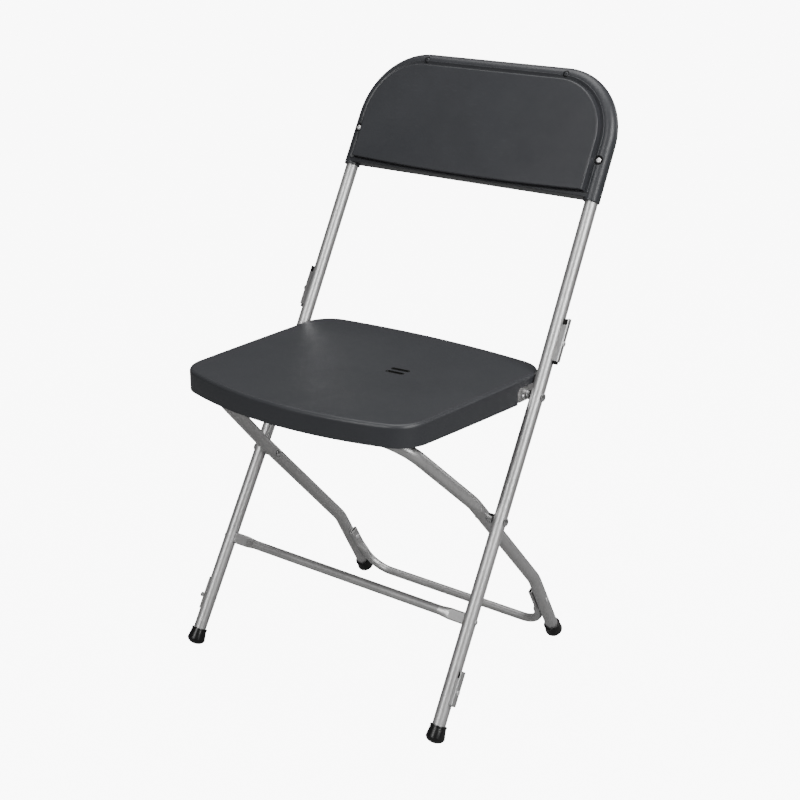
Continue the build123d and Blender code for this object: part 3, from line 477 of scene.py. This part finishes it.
# Blind rivets: a domed head round the sunk end of the pulled stem
BLIND_RIVET = [
    (3.8, -0.6), (3.8, 0.25), (3.7, 0.62), (3.35, 1.05), (2.8, 1.45), (2.2, 1.75), (1.75, 1.88), (1.5, 1.8),
    (1.4, 1.5), (1.35, 0.5), (0.9, 0.5), (0.75, 0.7), (0.2, 0.8),
]
BLACK_RIVET = [
    (3.4, -0.6), (3.4, 0.2), (3.25, 0.65), (2.8, 1.1), (2.2, 1.45), (1.65, 1.6), (1.4, 1.55), (1.25, 1.3),
    (1.2, 0.7), (0.2, 0.6),
]
# Black rings under the rivets, in the moulding's recesses: painted shade for the dark of the recesses
SIDE_SHADE_RING = [(6.2, -0.2), (6.2, 0.2), (6.0, 0.4), (5.2, 0.45), (3.2, 0.3)]
TOP_SHADE_RING = [(4.5, -0.2), (4.5, 0.2), (4.35, 0.35), (3.9, 0.4), (2.8, 0.3)]


def rivet_pair(name, rings, place, material):
    """Two like turned pieces on the backrest, one on each side."""
    right = turned_solid(name, rings, RIVET_SEGMENTS)
    left = copy_of(right, name + "_left")
    set_in_place(right, place + BACK_FACING * RIVET_LIFT, BACK_FACING)
    set_in_place(left, mirrored(place) + BACK_FACING * RIVET_LIFT, BACK_FACING)
    pair = join_pieces(right, left)
    finish_piece(pair, "frame", material)
    return pair


side_heads = rivet_pair("side_rivet_heads", BLIND_RIVET, SIDE_RIVET, rivet_steel)
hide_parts("backrest_side_rivets")
top_heads = rivet_pair("top_rivet_heads", BLACK_RIVET, TOP_RIVET, charcoal)
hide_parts("backrest_top_rivets")
# Black rings round the rivet heads that paint the shade in the recesses
rivet_pair("side_rivet_shade_rings", SIDE_SHADE_RING, SIDE_RIVET, black_fitting_and_painted_shade)
rivet_pair("top_rivet_shade_rings", TOP_SHADE_RING, TOP_RIVET, black_fitting_and_painted_shade)

# Rivets that hold each hinge plate, ahead of the seat pivot
PLATE_RIVET = [
    (2.9, -0.3), (2.9, 0.2), (2.7, 0.6), (2.1, 1.0), (1.3, 1.2), (0.9, 1.15), (0.8, 0.95), (0.1, 0.9),
]
PLATE_RIVET_SEGMENTS = 32
PLATE_RIVET_AHEAD = 0.0101
PLATE_RIVET_DROP = 0.0006
PLATE_FACE = 0.1917
plate_rivet = turned_solid("plate_rivet_right", PLATE_RIVET, PLATE_RIVET_SEGMENTS)
plate_rivet_left = copy_of(plate_rivet, "plate_rivet_left")
for piece, side in ((plate_rivet, 1), (plate_rivet_left, -1)):
    place = Vector((side * PLATE_FACE, SEAT_PIVOT.y - PLATE_RIVET_AHEAD, SEAT_PIVOT.z - PLATE_RIVET_DROP))
    set_in_place(piece, place, Vector((side, 0, 0)))
    finish_piece(piece, "seat", rivet_steel)

# Ferrules, in millimetres along each tube from where its axis meets the floor
REAR_FOOT_LEAN = radians(29.6)
FERRULE_SEGMENTS = 56
# Radius, radius at the top and height of the top
FRONT_FERRULE = (12.8, 10.6, 25.6)
REAR_FERRULE = (12.5, 11.2, 23.0)
DOME, DOME_STEPS, WEAR = 8.0, 10, 0.9
SOLE_RIM, SOLE_SINK = 1.2, 0.5
# Lip at the mouth, from the top's radius and height, and the mouth's own radius and height from the top
FERRULE_LIP = [(0.15, -2.6), (0.75, -2.2), (0.85, -0.9), (0.45, -0.1), (-0.2, 0.0)]
FERRULE_MOUTH = [(9.1, -0.3), (9.05, -4.0)]


def ferrule(name, radius, top_radius, top, lean, place, axis, body):
    """Rubber ferrule on a tube's end: domed toe, worn flat where it stands, thin lip at the mouth."""
    reach = ((radius * sin(lean)) ** 2 + (DOME * cos(lean)) ** 2) ** 0.5
    dome_centre = (reach - WEAR) / cos(lean)
    rings = []
    for step in range(1, DOME_STEPS + 1):
        turn = pi / 2 * step / DOME_STEPS
        rings.append((radius * sin(turn), dome_centre - DOME * cos(turn)))
    rings += [(top_radius + out, top + up) for out, up in FERRULE_LIP]
    rings += [(mouth, top + up) for mouth, up in FERRULE_MOUTH]
    piece = turned_solid(name, rings, FERRULE_SEGMENTS)
    set_in_place(piece, place, axis)
    bpy.ops.object.mode_set(mode="EDIT")
    bpy.ops.mesh.select_all(action="SELECT")
    bpy.ops.mesh.bisect(plane_co=(0, 0, 0), plane_no=(0, 0, 1), use_fill=True, clear_inner=True)
    bpy.ops.mesh.inset(thickness=SOLE_RIM * MM)
    bpy.ops.mesh.extrude_region_move(TRANSFORM_OT_translate={"value": (0, 0, SOLE_SINK * MM)})
    bpy.ops.mesh.select_all(action="SELECT")
    bpy.ops.mesh.normals_make_consistent(inside=False)
    bpy.ops.object.mode_set(mode="OBJECT")
    bpy.ops.object.shade_smooth_by_angle(angle=SMOOTH_ANGLE)
    finish_piece(piece, body, rubber)
    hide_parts(name.replace("_ferrule", "_foot"))


for side, hand in ((1, "right"), (-1, "left")):
    turn_side = Vector((side, 1, 1))
    front_place, front_axis = FRONT_FOOT * turn_side, FRONT_FOOT_AXIS * turn_side
    rear_place, rear_axis = REAR_FOOT * turn_side, REAR_FOOT_AXIS * turn_side
    ferrule(f"front_ferrule_{hand}", *FRONT_FERRULE, FRONT_LEAN, front_place, front_axis, "frame")
    ferrule(f"rear_ferrule_{hand}", *REAR_FERRULE, REAR_FOOT_LEAN, rear_place, rear_axis, "rear_legs")

# Black collars in the seat's two drain slots: a raised lip round each slot, and black walls down it that
# paint the shade inside the slot; sizes in millimetres, places in metres and radians
SLOT_LENGTH, SLOT_WIDTH = 28.0, 4.0
COLLAR_LIP, COLLAR_INSIDE, COLLAR_DEPTH = 1.1, 0.3, 3.2
COLLAR_BEVEL, COLLAR_SEGMENTS = 0.12, 40
SLOT_MIDDLE = Vector((0.0425, -0.0466, 0.42802))
SLOT_TILT = (0.0235, -0.0345, 0.0)
SLOT_STEP = Vector((0, 0.006, 0.00014))


def slot_collar(name, place):
    """Thin raised collar with a round-ended slot through it."""
    start_clean()
    radius = (SLOT_WIDTH / 2 + COLLAR_LIP) * MM
    bpy.ops.mesh.primitive_circle_add(vertices=COLLAR_SEGMENTS, radius=radius, fill_type="NGON")
    piece = bpy.context.object
    piece.name = name
    piece.data.name = name
    bpy.ops.object.mode_set(mode="EDIT")
    reach = (SLOT_LENGTH - SLOT_WIDTH) / 2 * MM
    for side in (1, -1):
        pick(piece, lambda at: at.x * side > SAME_POINT)
        bpy.ops.transform.translate(value=(side * reach, 0, 0))
    bpy.ops.mesh.select_mode(type="FACE")
    bpy.ops.mesh.select_all(action="SELECT")
    bpy.ops.mesh.inset(thickness=(COLLAR_LIP + COLLAR_INSIDE) * MM)
    bpy.ops.mesh.delete(type="FACE")
    bpy.ops.mesh.select_all(action="SELECT")
    bpy.ops.mesh.extrude_region_move(TRANSFORM_OT_translate={"value": (0, 0, -COLLAR_DEPTH * MM)})
    bpy.ops.mesh.select_all(action="SELECT")
    bpy.ops.mesh.normals_make_consistent(inside=False)
    bpy.ops.object.mode_set(mode="OBJECT")
    bevel = piece.modifiers.new("edge", "BEVEL")
    bevel.width = COLLAR_BEVEL * MM
    bevel.segments = 2
    bevel.limit_method = "ANGLE"
    bpy.ops.object.modifier_apply(modifier=bevel.name)
    bpy.ops.object.shade_smooth_by_angle(angle=SMOOTH_ANGLE)
    piece.location = place
    piece.rotation_euler = SLOT_TILT
    bpy.ops.object.transform_apply(location=True, rotation=True, scale=True)
    # Black throughout: the walls down the slot are painted shade
    finish_piece(piece, "seat", black_fitting_and_painted_shade)


for hand, across in (("front", -1), ("rear", 1)):
    slot_collar(f"drain_collar_{hand}", SLOT_MIDDLE + across * SLOT_STEP)

# Backrest, drawn flat in its own plane up from the seat pivot and then leant back; millimetres
HALF_AT_PIVOT, SIDE_TAPER = 205.8, 5.4 / 429.0
BACK_TOP, SLEEVE_END, WEB_END = 429.0, 264.0, 267.5
CORNER_RADIUS, CORNER_STEPS = 88.0, 20
SLEEVE_RADIUS, SLEEVE_AHEAD = 11.5, 1.2
BORE_RADIUS, BORE_DEPTH = 9.15, 14
SLEEVE_SEGMENTS, SLEEVE_STEPS = 48, 28
# Rounded end of the sleeve: short of its radius, along the tube from the ring before
SLEEVE_LIP = [(0.6, 0.0), (0.15, 0.3), (0.0, 0.8)]
WEB_INSET, WEB_FRONT, WEB_REAR = 2.6, 12.4, -10.0
WEB_BEVEL, WEB_BEVEL_STEPS = 0.7, 3
FLANGE_INSET, FLANGE_END, FLANGE_FRONT = 1.5, 268.2, 12.75
PANEL_BOW, LOWER_STEPS = 4.8, 28
# Section from the flange's outer edge over the ledge and up to the panel's face: inward, forward
PANEL_SECTION = [
    (0.05, 1.1), (0.2, 0.35), (0.35, 0.2), (0.4, -0.1), (3.6, -2.6), (0.7, 0.0), (1.6, 6.2), (0.2, 0.65),
    (0.35, 0.55), (0.5, 0.4), (0.6, 0.25), (0.7, 0.1), (0.6, 0.0),
]
# Share of each inward step that the panel's lower edge takes, and how far up that edge reaches
LOWER_SHARE, LOWER_REACH = 0.32, 20
SIDE_RIVET_UP, TOP_RIVET_HALF = 318.0, 116.0
SIDE_RECESS, TOP_RECESS = 6.5, 4.8
RECESS_FLOOR, RECESS_TOP = 11.1, 24.0
RECESS_CORNER, RECESS_CORNER_RISE = 0.4, 0.3
# Thinner faces than this are taken out
THIN_FACE = 0.005


def half_width(up):
    """Half the width between the tube's axes at a height in the backrest's plane."""
    return HALF_AT_PIVOT - up * SIDE_TAPER


def corner_centre():
    """Middle of the right upper corner."""
    up = BACK_TOP - CORNER_RADIUS
    return Vector((half_width(up) - CORNER_RADIUS, up, 0))


def back_outline(inset, end, bow, forward):
    """Points round the backrest at an inset from the tube's axis, up the right side first."""
    half = half_width(end + bow) - inset
    right = [Vector((half, end + bow, forward))]
    centre = corner_centre()
    reach = CORNER_RADIUS - inset
    for step in range(CORNER_STEPS + 1):
        turn = pi / 2 * step / CORNER_STEPS
        right.append(centre + Vector((reach * cos(turn), reach * sin(turn), forward)))
    left = [mirrored(point) for point in reversed(right)]
    lower = []
    for step in range(1, LOWER_STEPS):
        across = 2 * step / LOWER_STEPS - 1
        lower.append(Vector((across * half, end + bow * across ** 2, forward)))
    return right + left + lower


def combine(piece, tool, operation):
    """Weld a second solid to a piece, or cut it away, and use the second one up."""
    start_clean()
    piece.select_set(True)
    bpy.context.view_layer.objects.active = piece
    work = piece.modifiers.new("work", "BOOLEAN")
    work.operation = operation
    work.solver = "EXACT"
    work.object = tool
    bpy.ops.object.modifier_apply(modifier=work.name)
    start_clean()
    tool.select_set(True)
    bpy.ops.object.delete()
    piece.select_set(True)
    bpy.context.view_layer.objects.active = piece


def cut_recesses(piece):
    """Sink a round recess for each of the four rivets, in the backrest's own plane."""
    top = Vector((TOP_RIVET_HALF, BACK_TOP, 0))
    side = Vector((half_width(SIDE_RIVET_UP), SIDE_RIVET_UP, 0))
    recesses = [
        (side, SIDE_RECESS), (mirrored(side), SIDE_RECESS), (top, TOP_RECESS), (mirrored(top), TOP_RECESS),
    ]
    for place, radius in recesses:
        rings = [
            (radius - RECESS_CORNER, RECESS_FLOOR), (radius, RECESS_FLOOR + RECESS_CORNER_RISE),
            (radius, RECESS_TOP),
        ]
        cutter = turned_solid("recess_cutter", rings, RIVET_SEGMENTS)
        set_in_place(cutter, place * MM, Vector((0, 0, 1)))
        combine(piece, cutter, "DIFFERENCE")


def back_tray():
    """Flat back and web, with the panel on a flange that overhangs the sleeve."""
    start_clean()
    bpy.ops.mesh.primitive_plane_add(size=MM)
    piece = bpy.context.object
    bpy.ops.object.mode_set(mode="EDIT")
    bpy.ops.mesh.delete(type="VERT")
    edge = back_outline(WEB_INSET, WEB_END, 0, WEB_FRONT)
    flange = back_outline(FLANGE_INSET, FLANGE_END, PANEL_BOW, FLANGE_FRONT)
    trace_loop(edge)
    trace_loop(flange)
    bpy.ops.mesh.bridge_edge_loops()
    pick(piece, lambda at: any((at - point).length < SAME_POINT for point in edge))
    through = (0, 0, (WEB_REAR - WEB_FRONT) * MM)
    bpy.ops.mesh.extrude_region_move(TRANSFORM_OT_translate={"value": through})
    bpy.ops.mesh.edge_face_add()
    pick(piece, lambda at: any((at - point).length < SAME_POINT for point in flange))
    bpy.ops.mesh.edge_face_add()
    bpy.ops.mesh.select_all(action="SELECT")
    bpy.ops.mesh.normals_make_consistent(inside=False)
    pick_edges(piece, lambda a, b: max(a.y, b.y) < WEB_END + SAME_POINT and abs(a.z - b.z) < SAME_POINT)
    bpy.ops.mesh.bevel(offset=WEB_BEVEL * MM, segments=WEB_BEVEL_STEPS)
    for inward, forward in PANEL_SECTION:
        pick_wide_face(piece)
        bpy.ops.mesh.inset(thickness=inward * MM, depth=forward * MM)
        # the lower edge of the panel keeps closer to the web's edge
        bpy.ops.mesh.select_mode(type="VERT")
        shape = bmesh.from_edit_mesh(piece.data)
        for vertex in shape.verts:
            if vertex.co.y > (FLANGE_END + PANEL_BOW + LOWER_REACH) * MM:
                vertex.select_set(False)
        shape.select_flush(False)
        bmesh.update_edit_mesh(piece.data)
        bpy.ops.transform.translate(value=(0, -(1 - LOWER_SHARE) * inward * MM, 0))
    bpy.ops.object.mode_set(mode="OBJECT")
    bpy.ops.object.shade_smooth_by_angle(angle=MOULDING_SMOOTH_ANGLE)
    return piece


def back_sleeve():
    """Round sleeve over the bent tube, one half drawn along the tube and mirrored."""
    start_clean()
    lean = atan(SIDE_TAPER)
    along = Vector((-sin(lean), cos(lean), 0))
    end = Vector((half_width(SLEEVE_END), SLEEVE_END, SLEEVE_AHEAD))
    bore_end = end + along * BORE_DEPTH
    bpy.ops.mesh.primitive_circle_add(
        vertices=SLEEVE_SEGMENTS, radius=BORE_RADIUS * MM, fill_type="NGON", location=bore_end * MM,
        rotation=(-pi / 2, 0, lean),
    )
    piece = bpy.context.object
    bpy.ops.object.transform_apply(location=True, rotation=True, scale=True)
    bpy.ops.object.mode_set(mode="EDIT")
    bpy.ops.mesh.select_all(action="SELECT")
    bpy.ops.mesh.extrude_region_move(TRANSFORM_OT_translate={"value": (end - bore_end) * MM})
    radius = BORE_RADIUS
    for short, rise in SLEEVE_LIP:
        bpy.ops.mesh.extrude_region_move(TRANSFORM_OT_translate={"value": along * rise * MM})
        bpy.ops.transform.resize(value=((SLEEVE_RADIUS - short) / radius,) * 3)
        radius = SLEEVE_RADIUS - short
    lip_length = sum(rise for short, rise in SLEEVE_LIP)
    centre = corner_centre() + Vector((0, 0, SLEEVE_AHEAD))
    bend = centre + Vector((cos(lean), sin(lean), 0)) * CORNER_RADIUS
    bpy.ops.mesh.extrude_region_move(TRANSFORM_OT_translate={"value": (bend - end - along * lip_length) * MM})
    bpy.ops.mesh.spin(steps=SLEEVE_STEPS, angle=lean - pi / 2, center=centre * MM, axis=(0, 0, 1))
    bpy.ops.mesh.extrude_region_move(TRANSFORM_OT_translate={"value": (-centre.x * MM, 0, 0)})
    bpy.ops.mesh.delete(type="ONLY_FACE")
    bpy.ops.mesh.select_all(action="SELECT")
    bpy.ops.mesh.remove_doubles(threshold=MERGED_POINT * MM)
    bpy.ops.mesh.normals_make_consistent(inside=False)
    bpy.ops.object.mode_set(mode="OBJECT")
    mirror = piece.modifiers.new("other_half", "MIRROR")
    mirror.merge_threshold = SAME_POINT * MM
    bpy.ops.object.modifier_apply(modifier=mirror.name)
    bpy.ops.object.shade_smooth_by_angle(angle=MOULDING_SMOOTH_ANGLE)
    return piece


moulding = back_tray()
moulding.name = "backrest_moulding"
moulding.data.name = "backrest_moulding"
combine(moulding, back_sleeve(), "UNION")
cut_recesses(moulding)
bpy.ops.object.mode_set(mode="EDIT")
bpy.ops.mesh.select_all(action="SELECT")
bpy.ops.mesh.dissolve_degenerate(threshold=THIN_FACE * MM)
bpy.ops.mesh.quads_convert_to_tris(ngon_method="BEAUTY")
bpy.ops.mesh.dissolve_degenerate(threshold=THIN_FACE * MM)
bpy.ops.object.mode_set(mode="OBJECT")
bpy.ops.object.shade_smooth_by_angle(angle=MOULDING_SMOOTH_ANGLE)
moulding.location = SEAT_PIVOT * Vector((0, 1, 1))
moulding.rotation_euler = (pi / 2 - BACK_LEAN, 0, 0)
bpy.ops.object.transform_apply(location=True, rotation=True, scale=True)
finish_piece(moulding, "frame", charcoal)
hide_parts("backrest")

# Floor, light and camera
FLOOR_LIFT = 9.0            # brightness of floor and sky that only the camera sees
SKY_STRENGTH = 0.14         # brightness of the sky to everything else
FLOOR_DROP = 0.06           # the folded rear feet are 29 mm below the standing plane
FLOOR_SIZE = 40
FLOOR_GREY = 0.26
start_clean()
bpy.ops.mesh.primitive_plane_add(size=FLOOR_SIZE, location=(0, 0, -FLOOR_DROP))
floor = bpy.context.object
floor.name = "studio_floor"
floor_material = bpy.data.materials.new("studio_white")
floor_material.use_nodes = True
floor_tree = floor_material.node_tree
floor_shader = floor_tree.nodes["Principled BSDF"]
floor_shader.inputs["Base Color"].default_value = grey(FLOOR_GREY)
floor_shader.inputs["Roughness"].default_value = 0.9
floor_shader.inputs["Specular IOR Level"].default_value = 0.1
floor_shader.inputs["Emission Color"].default_value = grey(FLOOR_LIFT)
light_path = floor_tree.nodes.new("ShaderNodeLightPath")
floor_tree.links.new(light_path.outputs["Is Camera Ray"], floor_shader.inputs["Emission Strength"])
floor.data.materials.append(floor_material)

world = bpy.data.worlds.new("studio")
bpy.context.scene.world = world
world.use_nodes = True
sky = world.node_tree.nodes["Background"]
sky.inputs["Color"].default_value = (1, 1, 1, 1)
seen = world.node_tree.nodes.new("ShaderNodeLightPath").outputs["Is Camera Ray"]
brightness = remap(world.node_tree, seen, 0.0, 1.0, SKY_STRENGTH, FLOOR_LIFT)
feed(world.node_tree, brightness, sky.inputs["Strength"])


def add_light(name, place, aim, width, height, watts):
    """Soft box facing a point."""
    data = bpy.data.lights.new(name, "AREA")
    data.shape = "RECTANGLE"
    data.size = width
    data.size_y = height
    data.energy = watts
    lamp = bpy.data.objects.new(name, data)
    bpy.context.scene.collection.objects.link(lamp)
    lamp.location = place
    lamp.rotation_euler = (Vector(aim) - Vector(place)).to_track_quat("-Z", "Y").to_euler()


add_light("left_box", (-0.15, -2.35, 1.85), (0, 0, 0.45), 0.6, 2.0, 42)
add_light("right_box", (2.3, -0.8, 1.75), (0, 0, 0.45), 0.5, 2.0, 54)
add_light("rim_box", (2.0, 0.15, 2.4), (0, 0, 0.6), 0.4, 1.3, 34)
add_light("top_box", (-0.3, 0.3, 2.7), (0, 0, 0.4), 1.6, 1.6, 40)
add_light("back_box", (1.1, 2.5, 1.1), (0, 0, 0.5), 1.2, 1.2, 10)

camera_data = bpy.data.cameras.new("photo_view")
camera_data.lens = LENS_MM
camera_data.sensor_width = SENSOR_MM
camera = bpy.data.objects.new("photo_view", camera_data)
bpy.context.scene.collection.objects.link(camera)
azimuth, elevation = radians(VIEW_AZIMUTH), radians(VIEW_ELEVATION)
away = Vector((sin(azimuth) * cos(elevation), -cos(azimuth) * cos(elevation), sin(elevation)))
camera.location = VIEW_TARGET + away * VIEW_DISTANCE
camera.rotation_euler = (-away).to_track_quat("-Z", "Y").to_euler()
bpy.context.scene.camera = camera
